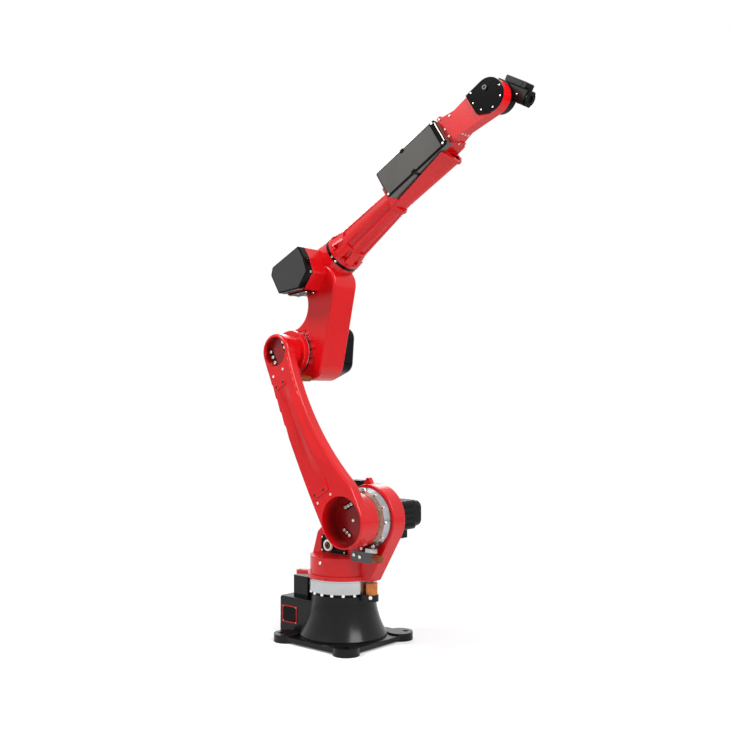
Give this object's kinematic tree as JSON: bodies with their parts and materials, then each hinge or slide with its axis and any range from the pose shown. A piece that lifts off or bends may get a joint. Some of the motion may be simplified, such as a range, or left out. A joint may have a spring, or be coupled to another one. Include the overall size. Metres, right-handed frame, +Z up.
{
  "type": "industrial robot arm",
  "caption": "Floor-mounted articulated robot arm: flared base, slewing turret, bowed upper arm, offset elbow, slim forearm and a wrist with a tool flange.",
  "frame": {"origin": "centre of the floor bolt pattern, on the slewing axis, at the underside of the feet", "axes": "+Z up along the slewing axis, +X the way the arm reaches at rest, -Y the side on which the upper arm hangs"},
  "size_m": [1.1556, 0.4284, 2.0237],
  "materials": {
    "cast_black": "satin",
    "paint_red": "satin",
    "ring_steel": "satin",
    "motor_black": "satin",
    "cover_black": "satin",
    "plate_grey": "matte",
    "stop_rubber": "satin"
  },
  "bodies": {
    "base": {"base_casting": "cast_black", "cable_riser": "cast_black", "connector_panel": "cast_black", "slew_stop": "stop_rubber", "slew_ring": "ring_steel"},
    "turret": {"turret_casting": "paint_red", "gland_plate": "plate_grey", "gland_socket": "ring_steel", "shoulder_stop_plate": "plate_grey", "shoulder_stop": "stop_rubber", "top_box": "motor_black", "shoulder_ring": "ring_steel", "shoulder_motor": "motor_black", "shoulder_plug": "motor_black", "slew_motor": "motor_black", "gland_plug": "motor_black"},
    "upper_link": {"upper_arm": "paint_red", "elbow_stop": "stop_rubber"},
    "elbow_link": {"elbow_casting": "paint_red", "pod_cover": "cover_black", "elbow_ring": "ring_steel", "elbow_motor_cover": "cover_black", "forearm_ring": "cover_black", "pod_sole": "cover_black"},
    "forearm_link": {"forearm_tube": "paint_red", "forearm_housing": "paint_red", "forearm_cover": "cover_black", "wrist_arm": "paint_red", "wrist_cover": "cover_black", "wrist_plug": "ring_steel"},
    "wrist_link": {"wrist_housing": "motor_black", "wrist_motor": "motor_black"},
    "tool_link": {"tool_flange": "motor_black"}
  },
  "joints": [
    {"name": "slew", "type": "hinge", "parent": "base", "child": "turret", "pos_m": [0, 0, 0.246], "axis": [0, 0, 1], "range_deg": [-160, 160]},
    {"name": "shoulder", "type": "hinge", "parent": "turret", "child": "upper_link", "pos_m": [0.16, 0, 0.482], "axis": [0, 1, 0], "range_deg": [-36, 109]},
    {"name": "elbow", "type": "hinge", "parent": "upper_link", "child": "elbow_link", "pos_m": [-0.19016, 0, 1.11112], "axis": [0, -1, 0], "range_deg": [-78, 107]},
    {"name": "forearm_roll", "type": "hinge", "parent": "elbow_link", "child": "forearm_link", "pos_m": [-0.00067, 0, 1.49516], "axis": [0.8462, 0, 0.5329], "range_deg": [-180, 180]},
    {"name": "wrist_bend", "type": "hinge", "parent": "forearm_link", "child": "wrist_link", "pos_m": [0.73298, 0, 1.95717], "axis": [0, -1, 0], "range_deg": [-53.3, 176.7]},
    {"name": "tool_roll", "type": "hinge", "parent": "wrist_link", "child": "tool_link", "pos_m": [0.83827, 0, 1.93206], "axis": [0.8704, 0, -0.4924], "range_deg": [-360, 360]}
  ]
}
